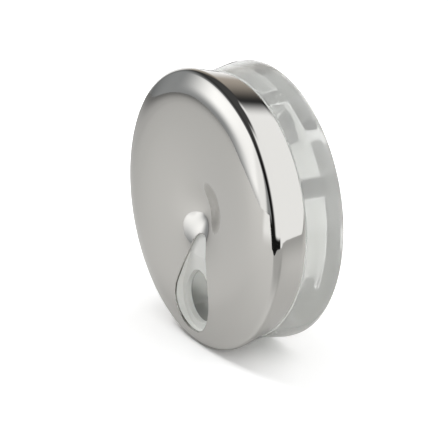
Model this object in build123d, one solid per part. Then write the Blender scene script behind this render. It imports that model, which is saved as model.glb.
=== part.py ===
# Round pill dispenser that stands on its rim: a polished steel lid with a teardrop window turns on a
# clear tray with seven compartments and one blank place. Pills drop out through the window.
# The disc's axis runs along Y, the lid faces -Y, and +Z is up. While the pieces are drawn, the axis
# is the Y axis and y = 0 is the plane of the lid's largest diameter. They are moved at the end so
# that the origin is under the middle of the dispenser, at the surface it stands on.
from build123d import *
import math
import os

# Overall sizes, in millimetres
rim_radius = 53.0  # largest radius of the lid, and of the tray's rear flange
skirt_taper = 2.8  # how far the skirt's rear edge is inside the lid's largest radius
lid_skirt_length = 12.1  # from the largest diameter back to the rear edge
rear_face = 26.4  # flat back of the tray, behind the largest diameter

# Pressed lid shell
shell_wall = 0.8
edge_radius = 2.6  # tight bend between the skirt and the front
outer_roll_radius = 50.0  # nearly flat band inside the tight bend
inner_roll_radius = 24.0  # roll from the band over the crest
edge_tilt = 22.5  # degrees, where the tight bend meets the outer roll
roll_tilt = 18.0  # degrees, where the outer roll meets the inner roll
dish_depth = 4.2  # shallow hollow inside the crest
funnel_depth = 3.6  # steeper dimple in the middle
funnel_width = 10.5
dish_points = 14

# Teardrop window
window_tip_distance = 13.9  # from the axis to the centre of the small end
window_tip_radius = 4.5
window_end_radius = 12.4
window_margin = 6.0  # from the window's wide end to the lid's largest radius
rest_angle = 270.0  # degrees from +X towards +Z, where the window points as it stands

# Moulded liner in the lid
bond_gap = 0.15  # glue line between the shell and the liner
liner_plate = 2.2
liner_mouth_gap = 0.2  # lets the liner in past the skirt's rear edge
liner_ring_inset = 1.8  # from the plate's rim in to the ring that stands up against the shell
liner_ring_wall = 1.8
chute_wall = 1.4
outlet_margin = 2.7  # floor left round the outlet at the window's wide end
outlet_tip_radius = 6.5
outlet_length = 4.6  # between the centres of the outlet's two ends

# Tray
face_gap = 0.3  # between the turning lid and the tray
tray_front = 1.4  # plane of the compartments' mouths
skirt_gap = 0.6  # between the skirt and the part of the tray inside it
shoulder_step = 0.2  # how far the tray stands out where it comes from behind the skirt
flange_width = 2.4  # straight part of the rear flange
flange_fillet = 0.4
base_thickness = 3.6
spigot_wall = 1.9  # between the compartments and the spigot's outside
hub_wall = 2.4  # between the compartments and the hub's pocket
compartment_corner = 1.2
compartment_floor_chamfer = 1.0
places = 8  # seven compartments and one blank
rib_width = 5.6
blank_place = 1  # counted from the window's place, turning from +X towards +Z
blank_reach = 5.5  # degrees that the compartments beside the blank place reach into it
tray_turn = -1.5  # degrees that the compartments are turned from the window's place

# Hub
pocket_step = 1.2  # shoulder that the index ring sits on
web_front = 14.0
web_thickness = 5.0

# Index ring and detent
ring_front = 3.0
ring_length = 6.0
ring_inner_radius = 11.0
ring_wall = 2.2
ring_fit = 0.03
ridge_radius = 0.5
ridge_rise = 0.35  # how far a ridge stands in from the ring's bore
ridge_angle = 7.5  # degrees from a place to the ridge on either side of it
ball_radius = 1.6
ball_gap = 0.05  # between the ball and the ring's bore
ball_bore_clearance = 0.08
boss_gap = 0.7  # between the liner's boss and the index ring
collar_gap = 0.5  # round the collar at the boss's root, inside the tray's pocket
bore_wall = 1.0  # between the insert and the bottom of the ball's bore
spring_wire = 0.4
spring_radius = 1.2
spring_turns = 5.0
spring_gap = 0.05

# Pivot
screw_shoulder_radius = 3.0
screw_thread_radius = 2.0
screw_head_step = 2.4
screw_head_height = 2.2
screw_thread_length = 5.6
socket_width = 3.0
socket_depth = 1.4
running_gap = 0.05
end_gap = 0.1
bush_wall = 1.4
bush_flange_step = 2.15
bush_flange = 0.9
insert_wall = 1.3
insert_length = 6.0
insert_fit = 0.02
thread_fit = 0.04
thrust_washer_width = 4.15
thrust_washer_thickness = 0.8
spring_washer_width = 3.35
spring_washer_thickness = 0.5
spring_washer_rise = 0.6

# Rear cap over the screw
cap_thickness = 1.6
cap_recess = 0.2
cap_fit = 0.05
cap_skirt_length = 3.2
cap_skirt_wall = 1.1
cap_room = 1.15  # between the cap's skirt and the thrust washer

# How far a cut runs past the face that it opens
cut_past = 1.0

# Places worked out from the sizes above
lid_skirt_radius = rim_radius - skirt_taper
window_end_distance = rim_radius - window_margin - window_end_radius
liner_radius = lid_skirt_radius - shell_wall - liner_mouth_gap
liner_ring_radius = liner_radius - liner_ring_inset
liner_back = tray_front - face_gap
liner_front = liner_back - liner_plate
web_back = web_front + web_thickness
ring_back = ring_front + ring_length
ring_middle = ring_front + ring_length / 2
shoulder_front = lid_skirt_length + face_gap
boss_end = web_front - bush_flange - end_gap
washer_front = web_back + end_gap / 2
spring_front = washer_front + thrust_washer_thickness
head_front = spring_front + spring_washer_rise + spring_washer_thickness + end_gap / 2
outlet_end_radius = window_end_radius - outlet_margin
spigot_radius = lid_skirt_radius - shell_wall - skirt_gap
shoulder_radius = lid_skirt_radius + shoulder_step
pocket_radius = ring_inner_radius + ring_wall
neck_radius = pocket_radius - pocket_step
boss_radius = ring_inner_radius - boss_gap
collar_radius = pocket_radius - collar_gap
ball_distance = ring_inner_radius - ball_gap - ball_radius
insert_radius = screw_thread_radius + insert_wall
bore_start = insert_radius + bore_wall
pivot_bore = screw_shoulder_radius + running_gap
screw_head_radius = screw_shoulder_radius + screw_head_step
bush_radius = pivot_bore + bush_wall
thrust_washer_radius = pivot_bore + thrust_washer_width
spring_washer_radius = pivot_bore + spring_washer_width
rear_pocket_radius = thrust_washer_radius + cap_room + cap_skirt_wall + cap_fit
place_angle = 360 / places
compartment_outer = spigot_radius - spigot_wall
compartment_inner = pocket_radius + hub_wall
compartment_floor = rear_face - base_thickness


def polar(centre, radius, tilt):
    """Point on a circle, at a tilt in degrees from the front (-Y) towards the outside."""
    turn = math.radians(tilt)
    return (centre[0] + radius * math.sin(turn), centre[1] - radius * math.cos(turn))


# Centres of the lid's three bends, each tangent to the next
edge_centre = (rim_radius - edge_radius, 0.0)
outer_roll_centre = polar(edge_centre, edge_radius - outer_roll_radius, edge_tilt)
inner_roll_centre = polar(outer_roll_centre, outer_roll_radius - inner_roll_radius, roll_tilt)
crest_radius = inner_roll_centre[0]
crest_front = inner_roll_centre[1] - inner_roll_radius

# The skirt is a cone that leaves the tight bend and ends at its own radius
skirt_reach = math.hypot(lid_skirt_radius - edge_centre[0], lid_skirt_length)
skirt_turn = math.degrees(math.asin(edge_radius / skirt_reach))
skirt_lean = math.degrees(math.atan2(edge_centre[0] - lid_skirt_radius, lid_skirt_length))
skirt_tilt = 90 + skirt_turn + skirt_lean


def dish_y(radius):
    """Depth of the lid's front at a radius inside the crest."""
    bowl = dish_depth * (1 - (radius / crest_radius) ** 2) ** 2
    funnel = funnel_depth * math.exp(-((radius / funnel_width) ** 2))
    return crest_front + bowl + funnel


def dish_slope(radius):
    """Slope of the lid's front at a radius inside the crest."""
    share = radius / crest_radius
    bowl = -4 * dish_depth * share * (1 - share**2) / crest_radius
    funnel = -2 * funnel_depth * radius / funnel_width**2 * math.exp(-((radius / funnel_width) ** 2))
    return bowl + funnel


def dish_point(radius, inset):
    """Point on the lid's front, or inset behind it along the surface's normal."""
    slope = dish_slope(radius)
    length = math.hypot(1, slope)
    return (radius - inset * slope / length, dish_y(radius) + inset / length)


def lid_curve(inset):
    """Section of the lid's front and skirt, inset from the outer surface, from the axis outwards."""
    points = [dish_point(crest_radius * i / dish_points, inset) for i in range(dish_points)]
    points.append(polar(inner_roll_centre, inner_roll_radius - inset, 0))
    dish = Spline(*points, tangents=[(1, 0), (1, 0)])
    bends = [
        (inner_roll_centre, inner_roll_radius, 0, roll_tilt),
        (outer_roll_centre, outer_roll_radius, roll_tilt, edge_tilt),
        (edge_centre, edge_radius, edge_tilt, skirt_tilt),
    ]
    edges = [dish]
    for centre, radius, first, last in bends:
        start = polar(centre, radius - inset, first)
        middle = polar(centre, radius - inset, (first + last) / 2)
        end = polar(centre, radius - inset, last)
        edges.append(ThreePointArc(start, middle, end))
    run = math.sqrt(skirt_reach**2 - edge_radius**2)
    lean = math.radians(skirt_tilt - 90)
    rear_edge = (end[0] - run * math.sin(lean), end[1] + run * math.cos(lean))
    edges.append(Line(end, rear_edge))
    return edges


def spin(*edges):
    """Solid of revolution about the dispenser's axis."""
    return revolve(make_face(list(edges)), axis=Axis.Y)


def outline(*points):
    """Closed section with straight sides."""
    return Polyline(*points, close=True)


def ring(inner, outer, front, back):
    """Plain ring or disc between two planes."""
    return spin(outline((inner, front), (outer, front), (outer, back), (inner, back)))


def slab(sketch, front, back):
    """Solid with a drawn outline, between two planes. The outline's y is the part's z."""
    plane = Plane(origin=(0, back, 0), x_dir=(1, 0, 0), z_dir=(0, -1, 0))
    return extrude(plane * sketch, amount=back - front)


def drop_outline(tip_distance, tip_radius, end_distance, end_radius):
    """Teardrop that widens away from the axis along the outline's x."""
    tip = Pos(tip_distance, 0) * Circle(tip_radius)
    end = Pos(end_distance, 0) * Circle(end_radius)
    return make_hull(tip.edges() + end.edges())


def turned(sketch, angle):
    """Outline turned about the axis."""
    return Rot(0, 0, angle) * sketch


def window_outline(grow=0.0):
    """Outline of the window where it rests, or grown outwards."""
    tip_radius = window_tip_radius + grow
    end_radius = window_end_radius + grow
    drop = drop_outline(window_tip_distance, tip_radius, window_end_distance, end_radius)
    return turned(drop, rest_angle)


def lid_shell():
    """Pressed steel dish with a rolled rim, a skirt and a teardrop window."""
    outer = lid_curve(0)
    inner = lid_curve(shell_wall)
    axis_edge = Line(outer[0] @ 0, inner[0] @ 0)
    rear_edge = Line(outer[-1] @ 1, inner[-1] @ 1)
    shell = spin(*outer, *inner, axis_edge, rear_edge)
    return shell - slab(window_outline(), crest_front - cut_past, lid_skirt_length)


def inside_of_lid():
    """Everything behind the glue line, as far back as the tray's web."""
    inset = shell_wall + bond_gap
    dish, inner_roll, outer_roll = lid_curve(inset)[:3]
    bend_radius = edge_radius - inset
    tilts = (edge_tilt, (edge_tilt + 90) / 2, 90)
    start, middle, end = (polar(edge_centre, bend_radius, tilt) for tilt in tilts)
    bend = ThreePointArc(start, middle, end)
    sides = Polyline(end, (end[0], web_back), (0, web_back), dish @ 0)
    return spin(dish, inner_roll, outer_roll, bend, sides)


def lid_liner():
    """Moulded liner: plate over the tray, ring and chute up to the shell, and the collared boss."""
    plate = ring(0, liner_radius, liner_front, liner_back)
    upstand = ring(liner_ring_radius - liner_ring_wall, liner_ring_radius, crest_front, liner_back)
    boss = ring(0, boss_radius, crest_front, boss_end)
    collar = ring(0, collar_radius, crest_front, ring_front - collar_gap)
    chute = slab(window_outline(chute_wall), crest_front, liner_back)
    chute = chute & ring(0, liner_radius, crest_front, liner_back)
    liner = (plate + upstand + boss + collar + chute) & inside_of_lid()
    liner -= slab(window_outline(), crest_front - cut_past, liner_front)
    outlet_tip = window_end_distance - outlet_length
    outlet = drop_outline(outlet_tip, outlet_tip_radius, window_end_distance, outlet_end_radius)
    liner -= slab(turned(outlet, rest_angle), liner_front - cut_past, liner_back + cut_past)
    liner -= ring(0, insert_radius + insert_fit, boss_end - insert_length, boss_end)
    return liner - detent_bore()


def detent_bore():
    """Radial hole for the ball and its spring, on the upper side of the hub."""
    stand = (Align.CENTER, Align.CENTER, Align.MIN)
    length = boss_radius + cut_past - bore_start
    bore = Cylinder(ball_radius + ball_bore_clearance, length, align=stand)
    return Pos(0, ring_middle, bore_start) * bore


def compartment(place):
    """Space of one compartment: a wedge with round corners and a chamfered floor."""
    start = (place - 0.5) * place_angle
    end = (place + 0.5) * place_angle
    if place == blank_place + 1:
        start -= blank_reach
    if place == blank_place - 1:
        end += blank_reach
    reach = 2 * compartment_outer
    past_start = Rectangle(reach, reach, align=(Align.CENTER, Align.MIN))
    short_of_end = Rectangle(reach, reach, align=(Align.CENTER, Align.MAX))
    wedge = Circle(compartment_outer) - Circle(compartment_inner)
    wedge = wedge & turned(Pos(0, rib_width / 2) * past_start, start)
    wedge = wedge & turned(Pos(0, -rib_width / 2) * short_of_end, end)
    wedge = fillet(wedge.vertices(), compartment_corner)
    wedge = turned(wedge, rest_angle + tray_turn)
    space = slab(wedge, tray_front, compartment_floor)
    floor = space.faces().sort_by(Axis.Y)[-1]
    return chamfer(floor.edges(), compartment_floor_chamfer)


def tray():
    """Clear moulding with seven compartments, a blank place, a hub and a flared rear flange."""
    flange_front = rear_face - flange_width
    body = spin(
        outline(
            (0, tray_front),
            (spigot_radius, tray_front),
            (spigot_radius, shoulder_front),
            (shoulder_radius, shoulder_front),
            (rim_radius, flange_front),
            (rim_radius, rear_face),
            (0, rear_face),
        )
    )
    rear_edges = body.edges().filter_by(GeomType.CIRCLE).group_by(Axis.Y)[-1]
    body = fillet(rear_edges, flange_fillet)
    for place in range(places):
        if place != blank_place:
            body -= compartment(place)
    body -= ring(0, pocket_radius, tray_front, ring_back)
    body -= ring(0, neck_radius, ring_back, web_front)
    body -= ring(0, bush_radius, web_front, web_back)
    return body - ring(0, rear_pocket_radius, web_back, rear_face)


def index_ring():
    """Ring pressed into the tray's hub, with a pair of ridges in its bore beside each place."""
    body = ring(ring_inner_radius, pocket_radius - ring_fit, ring_front, ring_back)
    ridge = Pos(0, ring_inner_radius + ridge_radius - ridge_rise) * Circle(ridge_radius)
    for place in range(places):
        for side in (-ridge_angle, ridge_angle):
            body += slab(turned(ridge, place * place_angle + side), ring_front, ring_back)
    return body


def detent_ball():
    """Steel ball that clicks over the index ring's ridges."""
    return Pos(0, ring_middle, ball_distance) * Sphere(ball_radius)


def detent_spring():
    """Compression spring that pushes the ball outwards."""
    start = bore_start + spring_wire / 2 + spring_gap
    end = ball_distance - ball_radius - spring_wire / 2 - spring_gap
    path = Helix(pitch=(end - start) / spring_turns, height=end - start, radius=spring_radius)
    section = Plane(origin=path @ 0, z_dir=path % 0) * Circle(spring_wire / 2)
    return Pos(0, ring_middle, start) * sweep(section, path=path)


def threaded_insert():
    """Brass insert moulded into the liner's boss."""
    front = boss_end - insert_length
    return ring(screw_thread_radius + thread_fit, insert_radius, front + insert_fit, boss_end)


def pivot_screw():
    """Shoulder screw that carries the lid and turns with it."""
    thread_end = boss_end - screw_thread_length
    body = ring(0, screw_thread_radius, thread_end, boss_end)
    body += ring(0, screw_shoulder_radius, boss_end, head_front)
    body += ring(0, screw_head_radius, head_front, head_front + screw_head_height)
    back = head_front + screw_head_height
    hexagon = RegularPolygon(socket_width / 2, 6, major_radius=False)
    return body - slab(hexagon, back - socket_depth, back + cut_past)


def pivot_bush():
    """Flanged bush in the tray's web, in which the screw turns."""
    sleeve = ring(pivot_bore, bush_radius - ring_fit, web_front, web_back)
    return sleeve + ring(pivot_bore, bush_radius + bush_flange_step, web_front - bush_flange, web_front)


def thrust_washer():
    """Plain washer behind the web."""
    return ring(pivot_bore, thrust_washer_radius, washer_front, spring_front)


def spring_washer():
    """Conical spring washer under the screw's head, which gives the lid its drag."""
    rim = spring_front
    top = rim + spring_washer_rise
    thick = spring_washer_thickness
    bore_side = [(pivot_bore, top + thick), (pivot_bore, top)]
    rim_side = [(spring_washer_radius, rim), (spring_washer_radius, rim + thick)]
    return spin(outline(*bore_side, *rim_side))


def hub_cap():
    """Snap-in cap that closes the rear of the hub."""
    back = rear_face - cap_recess
    radius = rear_pocket_radius - cap_fit
    inner_face = back - cap_thickness
    disc = ring(0, radius, inner_face, back)
    return disc + ring(radius - cap_skirt_wall, radius, inner_face - cap_skirt_length, inner_face)


pieces = {
    "lid_shell": lid_shell,
    "lid_liner": lid_liner,
    "threaded_insert": threaded_insert,
    "pivot_screw": pivot_screw,
    "pivot_bush": pivot_bush,
    "thrust_washer": thrust_washer,
    "spring_washer": spring_washer,
    "index_ring": index_ring,
    "detent_ball": detent_ball,
    "detent_spring": detent_spring,
    "tray": tray,
    "hub_cap": hub_cap,
}

to_origin = Pos(0, -(crest_front + rear_face) / 2, rim_radius)
os.makedirs("parts", exist_ok=True)
for name, build in pieces.items():
    piece = to_origin * build()
    export_step(piece, f"parts/{name}.step")
    print(name, len(piece.solids()), round(piece.volume, 1))
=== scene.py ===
# A round pill dispenser that stands on its rim: a polished steel lid with a teardrop window turns on a
# clear moulded tray with seven compartments. The file follows it as it is put together.
import math

import bmesh
import bpy
from mathutils import Matrix, Vector


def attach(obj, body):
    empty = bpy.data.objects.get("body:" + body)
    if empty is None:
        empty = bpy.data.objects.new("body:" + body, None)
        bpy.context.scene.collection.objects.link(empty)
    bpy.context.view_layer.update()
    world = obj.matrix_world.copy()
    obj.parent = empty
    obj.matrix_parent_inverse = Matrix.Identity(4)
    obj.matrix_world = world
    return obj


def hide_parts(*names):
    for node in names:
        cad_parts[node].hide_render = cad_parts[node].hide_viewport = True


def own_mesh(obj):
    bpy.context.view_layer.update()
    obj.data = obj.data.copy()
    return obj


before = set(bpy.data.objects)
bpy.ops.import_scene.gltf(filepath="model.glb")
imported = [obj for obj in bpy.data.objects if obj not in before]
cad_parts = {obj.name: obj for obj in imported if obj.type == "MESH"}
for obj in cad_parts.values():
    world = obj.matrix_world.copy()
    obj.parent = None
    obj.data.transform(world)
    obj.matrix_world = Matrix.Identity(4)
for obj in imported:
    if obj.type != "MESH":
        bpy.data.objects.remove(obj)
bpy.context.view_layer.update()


# Lid shell: stainless steel sheet 0.8 mm thick, pressed to a shallow dish with a dimple in the middle,
# rolled over at the rim and drawn back to a skirt. The window is punched, and the whole is polished.
# It is bonded to the liner.
mm = 0.001
axis_height = 53.0 * mm  # the disc's axis runs along Y at this height
rim_plane = -10.73221 * mm  # the plane of the lid's largest diameter


def linear(code):
    """sRGB hex to linear colour, opaque."""
    parts = [int(code[i : i + 2], 16) / 255 for i in (0, 2, 4)]
    return [c / 12.92 if c <= 0.04045 else ((c + 0.055) / 1.055) ** 2.4 for c in parts] + [1.0]


def add(tree, kind, settings=None, inputs=None):
    """Adds a node with its settings and its inputs, which are values or other nodes' outputs."""
    node = tree.nodes.new(kind)
    for name, value in (settings or {}).items():
        setattr(node, name, value)
    for name, value in (inputs or {}).items():
        if isinstance(value, bpy.types.NodeSocket):
            tree.links.new(value, node.inputs[name])
        else:
            node.inputs[name].default_value = value
    return node


def new_material(name):
    """Material with an empty node tree."""
    material = bpy.data.materials.new(name)
    material.use_nodes = True
    material.node_tree.nodes.clear()
    return material


def dress(obj, material):
    """Gives an object its material, in place of any that it has."""
    obj.data.materials.clear()
    obj.data.materials.append(material)


def polar(centre, radius, tilt):
    """Point of the lid's section on a bend, at a tilt in degrees from the front towards the rim."""
    turn = math.radians(tilt)
    return (centre[0] + radius * math.sin(turn), centre[1] - radius * math.cos(turn))


# Sizes of the pressed section in millimetres and degrees
rim_radius = 53.0
skirt_radius = 50.2  # at the skirt's rear edge
skirt_length = 12.1  # back from the rim plane
sheet = 0.8
dish_depth = 4.2
funnel_depth = 3.6  # of the dimple in the middle, below the dish
funnel_width = 10.5
inner_roll = 24.0  # radius over the crest, from the dish to the roll's tilt
roll_tilt = 18.0
outer_roll = 50.0  # radius of the flatter roll, from there to the edge's tilt
edge_tilt = 22.5
edge_bend = 2.6  # radius of the tight bend, from there to the skirt
edge_centre = (rim_radius - edge_bend, 0.0)
outer_centre = polar(edge_centre, edge_bend - outer_roll, edge_tilt)
inner_centre = polar(outer_centre, outer_roll - inner_roll, roll_tilt)
crest_radius = inner_centre[0]
crest_front = inner_centre[1] - inner_roll
skirt_reach = math.hypot(skirt_radius - edge_centre[0], skirt_length)
skirt_tilt = (
    90
    + math.degrees(math.asin(edge_bend / skirt_reach))
    + math.degrees(math.atan2(edge_centre[0] - skirt_radius, skirt_length))
)


def lid_section(inset, coarse):
    """Points (radius, y) in mm of the lid's section, inset behind the polished face. The number of
    steps is divided by coarse."""
    points = []
    dish_steps = 72 // coarse
    for i in range(dish_steps + 1):
        r = crest_radius * i / dish_steps
        share = r / crest_radius
        bell = math.exp(-((r / funnel_width) ** 2))
        y = crest_front + dish_depth * (1 - share**2) ** 2 + funnel_depth * bell
        slope = -4 * dish_depth * share * (1 - share**2) / crest_radius
        slope -= 2 * funnel_depth * r / funnel_width**2 * bell
        length = math.hypot(1, slope)
        points.append((r - inset * slope / length, y + inset / length))
    for centre, radius, first, last, steps in (
        (inner_centre, inner_roll, 0, roll_tilt, 18),
        (outer_centre, outer_roll, roll_tilt, edge_tilt, 8),
        (edge_centre, edge_bend, edge_tilt, skirt_tilt, 24),
    ):
        steps = steps // coarse
        for i in range(1, steps + 1):
            points.append(polar(centre, radius - inset, first + (last - first) * i / steps))
    run = math.sqrt(skirt_reach**2 - edge_bend**2)
    lean = math.radians(skirt_tilt - 90)
    r, y = points[-1]
    skirt_steps = 6 // coarse
    for i in range(1, skirt_steps + 1):
        share = run * i / skirt_steps
        points.append((r - share * math.sin(lean), y + share * math.cos(lean)))
    return points


square_corner = math.radians(125)  # a corner is rounded where its sides meet at less than this
weld = 0.001 * mm  # points closer than this are merged


def turned_solid(points, steps, ease):
    """Solid of revolution about the dispenser's axis, from a section (radius, y) in mm that is closed
    or ends on the axis. Its square corners are rounded over by a width in mm."""
    bm = bmesh.new()
    ring = [bm.verts.new((r * mm, y * mm + rim_plane, axis_height)) for r, y in points]
    for a, b in zip(ring, ring[1:]):
        bm.edges.new((a, b))
    if points[0][0] > 0:
        bm.edges.new((ring[-1], ring[0]))
    corners = []
    for vert in ring:
        if len(vert.link_edges) == 2:
            arms = [edge.other_vert(vert).co - vert.co for edge in vert.link_edges]
            if arms[0].angle(arms[1]) < square_corner:
                corners.append(vert)
    bmesh.ops.bevel(
        bm,
        geom=corners,
        offset=ease * mm,
        segments=3,
        profile=0.5,
        affect="VERTICES",
        material=-1,
    )
    bmesh.ops.spin(
        bm,
        geom=bm.verts[:] + bm.edges[:],
        cent=(0, 0, axis_height),
        axis=(0, 1, 0),
        angle=math.tau,
        steps=steps,
        use_merge=True,
        use_normal_flip=False,
    )
    bmesh.ops.remove_doubles(bm, verts=bm.verts, dist=weld)
    bmesh.ops.recalc_face_normals(bm, faces=bm.faces)
    return bm


crease = math.radians(35)  # edges sharper than this show as edges, and the rest is shaded smooth


def to_object(name, bm):
    """Object at the origin from a bmesh, shaded smooth between its creases."""
    for face in bm.faces:
        face.smooth = True
    mesh = bpy.data.meshes.new(name)
    bm.to_mesh(mesh)
    bm.free()
    mesh.set_sharp_from_angle(angle=crease)
    obj = bpy.data.objects.new(name, mesh)
    bpy.context.scene.collection.objects.link(obj)
    return obj


outer = lid_section(0, 1)
inner = lid_section(sheet, 2)
lid_corner = 0.2  # mm, the skirt's deburred edge
bm = turned_solid(outer + inner[::-1], 360, lid_corner)
lid = to_object("lid_steel", bm)

# Punched window: a teardrop, from a small round near the middle to a large one near the rim
tip_distance, tip_radius = 13.9, 4.5
end_distance, end_radius = 34.6, 12.4
punch_length = 16.0  # mm, so that it passes right through the dish
rest_angle = math.radians(270)  # the window points down at rest
bm = bmesh.new()
for distance, radius, steps in ((tip_distance, tip_radius, 96), (end_distance, end_radius, 192)):
    bmesh.ops.create_cone(
        bm,
        segments=steps,
        radius1=radius * mm,
        radius2=radius * mm,
        depth=punch_length * mm,
        matrix=Matrix.Translation((distance * mm, 0, 0)) @ Matrix.Rotation(math.pi / 2, 4, "X"),
    )
bmesh.ops.delete(bm, geom=bm.edges[:], context="EDGES_FACES")
bmesh.ops.convex_hull(bm, input=bm.verts)
bmesh.ops.delete(bm, geom=[v for v in bm.verts if not v.link_faces], context="VERTS")
turn = Matrix.Rotation(-rest_angle, 4, "Y")
place = Matrix.Translation((0, rim_plane, axis_height))
bmesh.ops.transform(bm, matrix=place @ turn, verts=bm.verts)
bmesh.ops.recalc_face_normals(bm, faces=bm.faces)
mesh = bpy.data.meshes.new("punch")
bm.to_mesh(mesh)
bm.free()
punch = bpy.data.objects.new("punch", mesh)
bpy.context.scene.collection.objects.link(punch)


def cut_away(obj, cutter):
    """Cuts one object out of another and removes the cutter."""
    cut = obj.modifiers.new("cut", "BOOLEAN")
    cut.operation = "DIFFERENCE"
    cut.solver = "EXACT"
    cut.object = cutter
    bpy.context.view_layer.update()
    depsgraph = bpy.context.evaluated_depsgraph_get()
    done = bpy.data.meshes.new_from_object(obj.evaluated_get(depsgraph))
    obj.modifiers.clear()
    obj.data = done
    obj.data.set_sharp_from_angle(angle=crease)
    bpy.data.objects.remove(cutter)


cut_away(lid, punch)

# The window's front edge is burnished round, so that it catches the light
lip_width = 0.3  # mm
lip_angle = math.radians(50)  # the punched edge is sharper than this, the dish is not
facing_front = -0.7  # y of a face's normal, where the face is part of the dish
window_reach = end_distance + end_radius + sheet
bm = bmesh.new()
bm.from_mesh(lid.data)
lip = []
for edge in bm.edges:
    middle = (edge.verts[0].co + edge.verts[1].co) / 2
    inside_rim = math.hypot(middle.x, middle.z - axis_height) < window_reach * mm
    facing = any(face.normal.y < facing_front for face in edge.link_faces)
    if inside_rim and facing and edge.calc_face_angle() > lip_angle:
        lip.append(edge)
bmesh.ops.bevel(
    bm,
    geom=lip,
    offset=lip_width * mm,
    segments=3,
    profile=0.5,
    affect="EDGES",
    clamp_overlap=False,
    material=-1,
)
bm.to_mesh(lid.data)
bm.free()
lid.data.set_sharp_from_angle(angle=crease)

# Stainless steel, mirror polished: a neutral reflection, softened a little where the buff left haze
steel = new_material("stainless steel, mirror polished")
tree = steel.node_tree
where = add(tree, "ShaderNodeTexCoord")
haze_scale = 1 / (16 * mm)  # patches 16 mm across
haze = add(
    tree,
    "ShaderNodeTexNoise",
    inputs={"Vector": where.outputs["Object"], "Scale": haze_scale, "Detail": 3.0},
)
rough = add(
    tree, "ShaderNodeMapRange", inputs={"Value": haze.outputs["Fac"], "To Min": 0.03, "To Max": 0.055}
)
surface = add(
    tree,
    "ShaderNodeBsdfPrincipled",
    inputs={"Base Color": linear("cccbc8"), "Metallic": 1.0, "Roughness": rough.outputs["Result"]},
)
add(tree, "ShaderNodeOutputMaterial", inputs={"Surface": surface.outputs["BSDF"]})
dress(lid, steel)
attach(lid, "lid")
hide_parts("lid_shell")

# Liner: the moulded plate that closes the compartments, with the chute behind the window, a ring that
# stands up against the shell, and the boss that turns on the pivot. Natural polypropylene, injection
# moulded: milky enough to hide what is behind it, with a satin skin.
polypropylene = new_material("polypropylene, natural, moulded")
tree = polypropylene.node_tree
where = add(tree, "ShaderNodeTexCoord")
flow_scale = 1 / (11 * mm)  # clouds that the melt leaves as it flows, 11 mm across
flow = add(
    tree,
    "ShaderNodeTexNoise",
    inputs={"Vector": where.outputs["Object"], "Scale": flow_scale, "Detail": 2.0},
)
tint = add(
    tree,
    "ShaderNodeMix",
    {"data_type": "RGBA"},
    {"Factor": flow.outputs["Fac"], "A": linear("f2f3ef"), "B": linear("f7f8f5")},
)
satin = add(
    tree, "ShaderNodeMapRange", inputs={"Value": flow.outputs["Fac"], "To Min": 0.3, "To Max": 0.42}
)
surface = add(
    tree,
    "ShaderNodeBsdfPrincipled",
    inputs={
        "Base Color": tint.outputs["Result"],
        "Roughness": satin.outputs["Result"],
        "IOR": 1.49,
    },
)
add(tree, "ShaderNodeOutputMaterial", inputs={"Surface": surface.outputs["BSDF"]})
dress(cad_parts["lid_liner"], polypropylene)

# Threaded insert: a brass bush, pressed into the liner's boss. Turned brass has fine rings from the
# tool, round the axis.
brass = new_material("brass, turned")
tree = brass.node_tree
where = add(tree, "ShaderNodeTexCoord")
centre = add(
    tree,
    "ShaderNodeMapping",
    inputs={"Vector": where.outputs["Object"], "Location": (0, 0, -axis_height)},
)
ring_pitch = 0.25 * mm  # the real marks are 0.05 mm apart, too fine to show, so these are coarser
ring_scale = math.pi / 10 / ring_pitch  # the texture has one wave per pi / 10 units at scale 1
rings = add(
    tree,
    "ShaderNodeTexWave",
    {"wave_type": "RINGS", "rings_direction": "Y"},
    {"Vector": centre.outputs["Vector"], "Scale": ring_scale, "Distortion": 0.3},
)
rough = add(
    tree, "ShaderNodeMapRange", inputs={"Value": rings.outputs["Fac"], "To Min": 0.2, "To Max": 0.36}
)
surface = add(
    tree,
    "ShaderNodeBsdfPrincipled",
    inputs={"Base Color": linear("d8bd7c"), "Metallic": 1.0, "Roughness": rough.outputs["Result"]},
)
add(tree, "ShaderNodeOutputMaterial", inputs={"Surface": surface.outputs["BSDF"]})
dress(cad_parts["threaded_insert"], brass)

# Click: a steel ball and the coil spring behind it, in a bore across the liner's boss. The spring pushes
# the ball between the ridges of the index ring. The ball is ground and lapped, the wire drawn.
ball_steel = new_material("bearing steel, ground")
tree = ball_steel.node_tree
where = add(tree, "ShaderNodeTexCoord")
lapping_scale = 1 / (0.4 * mm)  # the real marks are too fine to show, so these are 0.4 mm across
lapping = add(
    tree,
    "ShaderNodeTexNoise",
    inputs={"Vector": where.outputs["Object"], "Scale": lapping_scale, "Detail": 2.0},
)
rough = add(
    tree, "ShaderNodeMapRange", inputs={"Value": lapping.outputs["Fac"], "To Min": 0.06, "To Max": 0.14}
)
surface = add(
    tree,
    "ShaderNodeBsdfPrincipled",
    inputs={"Base Color": linear("c6c6c6"), "Metallic": 1.0, "Roughness": rough.outputs["Result"]},
)
add(tree, "ShaderNodeOutputMaterial", inputs={"Surface": surface.outputs["BSDF"]})
dress(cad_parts["detent_ball"], ball_steel)

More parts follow.
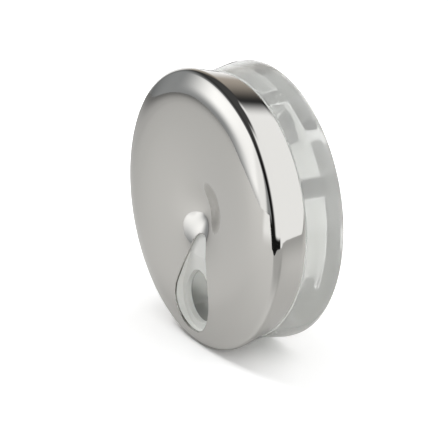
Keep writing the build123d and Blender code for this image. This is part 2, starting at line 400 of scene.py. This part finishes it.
# Spring steel: a dull grey, a little uneven where tempering coloured it
spring_steel = new_material("spring steel, drawn and tempered")
tree = spring_steel.node_tree
where = add(tree, "ShaderNodeTexCoord")
temper_scale = 1 / (2.5 * mm)  # temper colour in patches 2.5 mm across
temper = add(
    tree,
    "ShaderNodeTexNoise",
    inputs={"Vector": where.outputs["Object"], "Scale": temper_scale, "Detail": 3.0},
)
tint = add(
    tree,
    "ShaderNodeMix",
    {"data_type": "RGBA"},
    {"Factor": temper.outputs["Fac"], "A": linear("a9a6a0"), "B": linear("bdbcba")},
)
rough = add(
    tree, "ShaderNodeMapRange", inputs={"Value": temper.outputs["Fac"], "To Min": 0.24, "To Max": 0.36}
)
surface = add(
    tree,
    "ShaderNodeBsdfPrincipled",
    inputs={"Base Color": tint.outputs["Result"], "Metallic": 1.0, "Roughness": rough.outputs["Result"]},
)
add(tree, "ShaderNodeOutputMaterial", inputs={"Surface": surface.outputs["BSDF"]})

# The coil is pushed together as the ball goes in, so a copy of it, with a mesh of its own, rides on the
# lid
bm = bmesh.new()
bm.from_mesh(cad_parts["detent_spring"].data)
bmesh.ops.remove_doubles(bm, verts=bm.verts, dist=weld)
coil = to_object("spring_coil", bm)
dress(coil, spring_steel)
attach(coil, "lid")
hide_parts("detent_spring")
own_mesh(coil)

# Tray: one clear moulding with seven compartments and one blank place, a spigot that fits inside the
# lid's skirt, and a rear flange to hold. Injection moulded in a clarified plastic, a little milky.
tray_section = (  # radius and y in mm, round from the bore's front edge
    (4.45, 14.0),
    (12.0, 14.0),
    (12.0, 9.0),
    (13.2, 9.0),
    (13.2, 1.4),
    (48.8, 1.4),
    (48.8, 12.4),
    (50.4, 12.4),
    (53.0, 24.0),
    (53.0, 26.4),
    (9.5, 26.4),
    (9.5, 19.0),
    (4.45, 19.0),
)
tray_corner = 0.25
compartment_inner, compartment_outer = 15.6, 46.9  # radii
compartment_front, compartment_floor = 0.4, 22.8  # y from the rim plane
rib_half = 2.8  # half of a rib's thickness
wall_corner, floor_corner = 1.2, 1.0  # a compartment's rounded corners
places = 8
blank = 1  # the place that has no compartment
blank_reach = math.radians(5.5)  # how far its two neighbours reach into it
tray_turn = math.radians(268.5)  # the middle of place 0


def compartment_prism(name, first, last):
    """Solid of one compartment between two ribs, whose middles are at the angles first and last."""
    corner_angle = math.radians(40)  # an outline's corners are sharper than this, its arcs' steps aren't
    floor_plane = (compartment_floor - 0.01) * mm
    bm = bmesh.new()
    outline = []
    for radius, start, end, steps in (
        (compartment_outer, first, last, 40),
        (compartment_inner, last, first, 14),
    ):
        lean = math.copysign(math.asin(rib_half / radius), end - start)
        for i in range(steps + 1):
            angle = start + lean + (end - start - 2 * lean) * i / steps
            outline.append((radius * math.cos(angle), radius * math.sin(angle)))
    face = bm.faces.new([bm.verts.new((x * mm, compartment_front * mm, z * mm)) for x, z in outline])
    grown = bmesh.ops.extrude_face_region(bm, geom=[face])["geom"]
    far = [v for v in grown if isinstance(v, bmesh.types.BMVert)]
    bmesh.ops.translate(bm, verts=far, vec=(0, (compartment_floor - compartment_front) * mm, 0))
    bmesh.ops.recalc_face_normals(bm, faces=bm.faces)
    upright = [e for e in bm.edges if abs(e.verts[0].co.y - e.verts[1].co.y) > mm]
    bmesh.ops.bevel(
        bm,
        geom=[e for e in upright if e.calc_face_angle() > corner_angle],
        offset=wall_corner * mm,
        segments=6,
        profile=0.5,
        affect="EDGES",
        material=-1,
    )
    deep = [e for e in bm.edges if min(v.co.y for v in e.verts) > floor_plane]
    bmesh.ops.bevel(
        bm,
        geom=deep,
        offset=floor_corner * mm,
        segments=4,
        profile=0.5,
        affect="EDGES",
        material=-1,
    )
    bmesh.ops.translate(bm, verts=bm.verts, vec=(0, rim_plane, axis_height))
    bmesh.ops.recalc_face_normals(bm, faces=bm.faces)
    return to_object(name, bm)


bm = turned_solid(tray_section, 256, tray_corner)
tray = to_object("tray_clear", bm)
step = math.tau / places
for place in range(places):
    if place != blank:
        first = tray_turn + (place - 0.5) * step - (blank_reach if place == blank + 1 else 0)
        last = tray_turn + (place + 0.5) * step + (blank_reach if place == blank - 1 else 0)
        cut_away(tray, compartment_prism(f"compartment_{place}", first, last))

# Clarified plastic: a faint grey-green body, and a skin just dull enough to blur what shows through it
clear = new_material("clarified polypropylene, moulded")
tree = clear.node_tree
where = add(tree, "ShaderNodeTexCoord")
skin_scale = 1 / (25 * mm)  # the skin's gloss changes over 25 mm
skin = add(
    tree,
    "ShaderNodeTexNoise",
    inputs={"Vector": where.outputs["Object"], "Scale": skin_scale, "Detail": 2.0},
)
rough = add(
    tree, "ShaderNodeMapRange", inputs={"Value": skin.outputs["Fac"], "To Min": 0.03, "To Max": 0.055}
)
tint = add(
    tree,
    "ShaderNodeMix",
    {"data_type": "RGBA"},
    {"Factor": skin.outputs["Fac"], "A": linear("f8f9f6"), "B": linear("fcfdfb")},
)
surface = add(
    tree,
    "ShaderNodeBsdfPrincipled",
    inputs={
        "Base Color": tint.outputs["Result"],
        "Roughness": rough.outputs["Result"],
        "IOR": 1.49,
        "Transmission Weight": 0.68,
    },
)
add(tree, "ShaderNodeOutputMaterial", inputs={"Surface": surface.outputs["BSDF"]})
dress(tray, clear)
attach(tray, "tray")
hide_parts("tray")

# Running parts in the hub: the index ring with its ridges, the bush and the thrust washer. They are
# acetal, moulded or turned, and pressed into the tray: an even white with a faint sheen.
acetal = new_material("acetal, natural, moulded")
tree = acetal.node_tree
where = add(tree, "ShaderNodeTexCoord")
shade_scale = 1 / (4 * mm)  # the faint mottling of the moulded skin, 4 mm across
shade = add(
    tree,
    "ShaderNodeTexNoise",
    inputs={"Vector": where.outputs["Object"], "Scale": shade_scale, "Detail": 2.0},
)
tint = add(
    tree,
    "ShaderNodeMix",
    {"data_type": "RGBA"},
    {"Factor": shade.outputs["Fac"], "A": linear("e9e9e4"), "B": linear("f2f2ee")},
)
rough = add(
    tree, "ShaderNodeMapRange", inputs={"Value": shade.outputs["Fac"], "To Min": 0.38, "To Max": 0.5}
)
surface = add(
    tree,
    "ShaderNodeBsdfPrincipled",
    inputs={"Base Color": tint.outputs["Result"], "Roughness": rough.outputs["Result"], "IOR": 1.48},
)
add(tree, "ShaderNodeOutputMaterial", inputs={"Surface": surface.outputs["BSDF"]})
for name in ("index_ring", "pivot_bush", "thrust_washer"):
    dress(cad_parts[name], acetal)

# Pivot: a shoulder screw holds the tray to the liner through the bush, with a wavy spring washer under
# its head. The screw is turned from stainless bar, so its faces carry fine rings round the axis.
screw_steel = new_material("stainless steel, turned")
tree = screw_steel.node_tree
where = add(tree, "ShaderNodeTexCoord")
centre = add(
    tree,
    "ShaderNodeMapping",
    inputs={"Vector": where.outputs["Object"], "Location": (0, 0, -axis_height)},
)
rings = add(
    tree,
    "ShaderNodeTexWave",
    {"wave_type": "RINGS", "rings_direction": "Y"},
    {"Vector": centre.outputs["Vector"], "Scale": ring_scale, "Distortion": 0.3},
)
rough = add(
    tree, "ShaderNodeMapRange", inputs={"Value": rings.outputs["Fac"], "To Min": 0.16, "To Max": 0.3}
)
surface = add(
    tree,
    "ShaderNodeBsdfPrincipled",
    inputs={"Base Color": linear("c9c8c5"), "Metallic": 1.0, "Roughness": rough.outputs["Result"]},
)
add(tree, "ShaderNodeOutputMaterial", inputs={"Surface": surface.outputs["BSDF"]})
dress(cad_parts["pivot_screw"], screw_steel)
dress(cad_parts["spring_washer"], spring_steel)

# Hub cap: a moulded disc with a short skirt, pressed into the back of the tray over the screw. It is
# the same natural polypropylene as the liner.
dress(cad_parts["hub_cap"], polypropylene)

# Floor: a sheet of matt white card under the object. It ends 0.15 m in front of it and 0.2 m to its
# right, where the dark room shows in the steel. Far out on the left its colour is painted darker, a
# painted shade for light that falls off there.
card_outline = (  # x and y in metres, from the point under the rim plane's middle
    (-0.033, -0.380),
    (0.020, -0.151),
    (0.091, -0.123),
    (0.161, -0.100),
    (0.200, -0.060),
    (0.212, -0.010),
    (0.210, 0.057),
    (0.154, 0.158),
    (0.165, 0.213),
    (0.400, 1.300),
    (-1.500, 1.300),
    (-1.500, -1.000),
    (-0.600, -0.620),
    (-0.330, -0.400),
)
bm = bmesh.new()
centre = bm.verts.new((0, 0, 0))
outline = [bm.verts.new((x, y + rim_plane, 0)) for x, y in card_outline]
for a, b in zip(outline, outline[1:] + outline[:1]):
    bm.faces.new((centre, a, b))
floor = to_object("floor", bm)
card = new_material("white card")
tree = card.node_tree
where = add(tree, "ShaderNodeTexCoord")
apart = add(tree, "ShaderNodeSeparateXYZ", inputs={"Vector": where.outputs["Object"]})
painted_shade_lean = -0.5  # lines of equal painted shade go 0.5 m to the right for each metre back
to_the_right = add(
    tree,
    "ShaderNodeMath",
    {"operation": "MULTIPLY_ADD"},
    {0: apart.outputs["Y"], 1: painted_shade_lean, 2: apart.outputs["X"]},
)
painted_shade_falloff = add(
    tree,
    "ShaderNodeMapRange",
    inputs={"Value": to_the_right.outputs["Value"], "From Min": -1.03, "From Max": 0.12},
)
# Painted shade: the card's colour runs from grey far out on the left to near white by the object
painted_shade_ramp = add(tree, "ShaderNodeValToRGB", inputs={"Fac": painted_shade_falloff.outputs["Result"]})
painted_shade_ramp.color_ramp.interpolation = "B_SPLINE"
stops = painted_shade_ramp.color_ramp.elements
stops[0].color = linear("6a6967")
stops[-1].color = linear("efeeec")
for position, colour in ((0.62, "a3a2a0"), (0.77, "b6b5b3"), (0.87, "dcdbd9")):
    stops.new(position).color = linear(colour)
# Painted highlight: a strip along the front edge is coloured brighter than white, as if the edge caught
# the light.
# Painted shade: the side behind the object is coloured darker
edge_lean = -0.234  # the card's near edge goes 0.234 m to the right for each metre back
painted_highlight_level = 1.25
across = add(
    tree,
    "ShaderNodeMath",
    {"operation": "MULTIPLY_ADD"},
    {0: apart.outputs["Y"], 1: edge_lean, 2: apart.outputs["X"]},
)
near_edge = add(
    tree,
    "ShaderNodeMapRange",
    {"interpolation_type": "SMOOTHSTEP"},
    {"Value": across.outputs["Value"], "From Min": 0.010, "From Max": 0.035},
)
in_front = add(
    tree,
    "ShaderNodeMapRange",
    {"interpolation_type": "SMOOTHSTEP"},
    {"Value": apart.outputs["Y"], "From Min": -0.16, "From Max": -0.24},
)
strip = add(
    tree,
    "ShaderNodeMath",
    {"operation": "MULTIPLY"},
    {0: near_edge.outputs["Result"], 1: in_front.outputs["Result"]},
)
# The card's colour with the painted highlight strip laid over it
lit = add(
    tree,
    "ShaderNodeMix",
    {"data_type": "RGBA"},
    {
        "Factor": strip.outputs["Value"],
        "A": painted_shade_ramp.outputs["Color"],
        "B": (painted_highlight_level, painted_highlight_level, painted_highlight_level, 1),
    },
)
# Painted shade: the side behind the object is coloured darker
behind = add(
    tree,
    "ShaderNodeMapRange",
    {"interpolation_type": "SMOOTHSTEP"},
    {"Value": across.outputs["Value"], "From Min": 0.055, "From Max": 0.11},
)
# The card's colour, with its painted shade and painted highlight
matt = add(
    tree,
    "ShaderNodeMix",
    {"data_type": "RGBA"},
    {"Factor": behind.outputs["Result"], "A": lit.outputs["Result"], "B": linear("b4b3b1")},
)
# Seen directly or through plastic the card is the white background, and in the steel a part of it
glossy_share = 0.15
backdrop_white = 1.35  # so that the card is plain white where no shadow falls
path = add(tree, "ShaderNodeLightPath")
in_steel = add(
    tree,
    "ShaderNodeMath",
    {"operation": "MULTIPLY"},
    {0: path.outputs["Is Glossy Ray"], 1: glossy_share},
)
seen = add(
    tree,
    "ShaderNodeMath",
    {"operation": "MAXIMUM"},
    {0: path.outputs["Is Camera Ray"], 1: path.outputs["Is Transmission Ray"]},
)
white = add(
    tree,
    "ShaderNodeMath",
    {"operation": "MAXIMUM"},
    {0: seen.outputs["Value"], 1: in_steel.outputs["Value"]},
)
shade = add(
    tree,
    "ShaderNodeMix",
    {"data_type": "RGBA"},
    {
        "Factor": white.outputs["Value"],
        "A": matt.outputs["Result"],
        "B": (backdrop_white, backdrop_white, backdrop_white, 1),
    },
)
surface = add(tree, "ShaderNodeBsdfDiffuse", inputs={"Color": shade.outputs["Result"]})
add(tree, "ShaderNodeOutputMaterial", inputs={"Surface": surface.outputs["BSDF"]})
dress(floor, card)

# Studio: a dark room with soft panels in the world, which the steel shows. Azimuth 0 is in front of
# the lid (-Y) and grows towards +X. Rays that the camera sees directly, or through plastic, are white.
world = bpy.data.worlds.new("studio")
bpy.context.scene.world = world
world.use_nodes = True
tree = world.node_tree
tree.nodes.clear()
where = add(tree, "ShaderNodeTexCoord")
split = add(tree, "ShaderNodeSeparateXYZ", inputs={"Vector": where.outputs["Generated"]})
level = add(tree, "ShaderNodeMath", {"operation": "ARCSINE"}, {0: split.outputs["Z"]})
ahead = add(tree, "ShaderNodeMath", {"operation": "MULTIPLY"}, {0: split.outputs["Y"], 1: -1.0})
around = add(
    tree, "ShaderNodeMath", {"operation": "ARCTAN2"}, {0: split.outputs["X"], 1: ahead.outputs["Value"]}
)
around = add(
    tree, "ShaderNodeMath", {"operation": "WRAP"}, {0: around.outputs["Value"], 1: math.tau, 2: 0.0}
)
# The room is all but black, and a little lighter towards its ceiling
ceiling = add(
    tree,
    "ShaderNodeMapRange",
    {"interpolation_type": "SMOOTHSTEP"},
    {
        "Value": level.outputs["Value"],
        "From Min": math.radians(15),
        "From Max": math.radians(60),
        "To Min": 0.012,
        "To Max": 0.08,
    },
)


def with_panel(below, az, az_soft, el, el_soft, colour, strength):
    """Lays a soft-edged panel over the world; az and el are its limits in degrees, az_soft and el_soft
    the widths of its fading edges outside them."""
    mask = None
    for value, limits, soft in ((around, az, az_soft), (level, el, el_soft)):
        for limit, width, way in ((limits[0], soft[0], -1), (limits[1], soft[1], 1)):
            edge = add(
                tree,
                "ShaderNodeMapRange",
                {"interpolation_type": "SMOOTHSTEP"},
                {
                    "Value": value.outputs["Value"],
                    "From Min": math.radians(limit),
                    "From Max": math.radians(limit + way * width),
                    "To Min": 1.0,
                    "To Max": 0.0,
                },
            ).outputs["Result"]
            if mask is None:
                mask = edge
            else:
                both = add(tree, "ShaderNodeMath", {"operation": "MULTIPLY"}, {0: mask, 1: edge})
                mask = both.outputs["Value"]
    bright = [c * strength for c in linear(colour)[:3]] + [1.0]
    mix = add(tree, "ShaderNodeMix", {"data_type": "RGBA"}, {"Factor": mask, "A": below, "B": bright})
    return mix.outputs["Result"]


light = ceiling.outputs["Result"]
# Large softbox on the right, and its lower part that reaches down behind the object
light = with_panel(light, (55, 193), (30, 16), (-9, 60), (4, 18), "ffffff", 1.28)
light = with_panel(light, (114, 193), (9, 16), (-30, 20), (5, 10), "ffffff", 1.28)
# Pale daylight on the left, in front, with three white reflectors before it
light = with_panel(light, (292, 350), (33, 10), (-8, 14), (4, 26), "e9ecee", 0.45)
light = with_panel(light, (316, 343), (22, 4), (9, 12), (12, 9), "ffffff", 1.65)
light = with_panel(light, (338, 343), (24, 4), (-4, 12), (9, 9), "ffffff", 1.5)
light = with_panel(light, (341, 344), (4, 3), (-18, 6), (6, 8), "ffffff", 1.25)
# Warm wall on the left, behind, with a bright strip low on it
light = with_panel(light, (230, 256), (22, 16), (-8, 28), (8, 22), "f4e8da", 0.55)
light = with_panel(light, (238, 260), (10, 18), (-15, 10), (8, 20), "ffffff", 1.2)
path = add(tree, "ShaderNodeLightPath")
seen = add(
    tree,
    "ShaderNodeMath",
    {"operation": "MAXIMUM"},
    {0: path.outputs["Is Camera Ray"], 1: path.outputs["Is Transmission Ray"]},
)
mix = add(
    tree,
    "ShaderNodeMix",
    {"data_type": "RGBA"},
    {"Factor": seen.outputs["Value"], "A": light, "B": (1, 1, 1, 1)},
)
background = add(tree, "ShaderNodeBackground", inputs={"Color": mix.outputs["Result"], "Strength": 1.0})
add(tree, "ShaderNodeOutputWorld", inputs={"Surface": background.outputs["Background"]})

# Lamps: a wide bank overhead, and a key lamp in front of the object on its left. Both face the object,
# and neither shows as a shape in the steel.
aim = Vector((0, 0, 0.04))
for name, place, size, power in (
    ("bank", (0.1, 0.0, 1.0), 0.9, 1.8),  # metres and watts
    ("key", (-0.56, -0.24, 0.7), 0.3, 3.0),
):
    lamp = bpy.data.lights.new(name, "AREA")
    lamp.shape = "DISK"
    lamp.size = size
    lamp.energy = power
    stand = bpy.data.objects.new(name, lamp)
    bpy.context.scene.collection.objects.link(stand)
    stand.location = place
    stand.rotation_euler = (Vector(place) - aim).to_track_quat("Z", "Y").to_euler()
    stand.visible_camera = False
    stand.visible_glossy = False

# Camera: on the object's front right, a little above it, with a long lens
turn = math.radians(58.20)
lift = math.radians(18.17)
distance = 531.2  # mm, to the middle of the rim plane
focal = 1430.0  # in pixels of the picture
picture_width = 448  # pixels
sensor_width = 36.0  # mm
axis_right, axis_up = -22.5, 13.8  # pixels from the picture's centre to the middle of the rim plane
back = Vector((math.sin(turn) * math.cos(lift), -math.cos(turn) * math.cos(lift), math.sin(lift)))
right = Vector((math.cos(turn), math.sin(turn), 0))
up = back.cross(right)
spot = (back - right * (axis_right / focal) - up * (axis_up / focal)) * distance * mm
camera = bpy.data.objects.new("camera", bpy.data.cameras.new("camera"))
bpy.context.scene.collection.objects.link(camera)
camera.matrix_world = Matrix.Translation(Vector((0, rim_plane, axis_height)) + spot) @ Matrix(
    (
        (right.x, up.x, back.x, 0),
        (right.y, up.y, back.y, 0),
        (right.z, up.z, back.z, 0),
        (0, 0, 0, 1),
    )
)
camera.data.sensor_width = sensor_width
camera.data.lens = focal / picture_width * sensor_width
camera.data.clip_start = 0.01
bpy.context.scene.camera = camera
bpy.context.scene.view_settings.view_transform = "Standard"
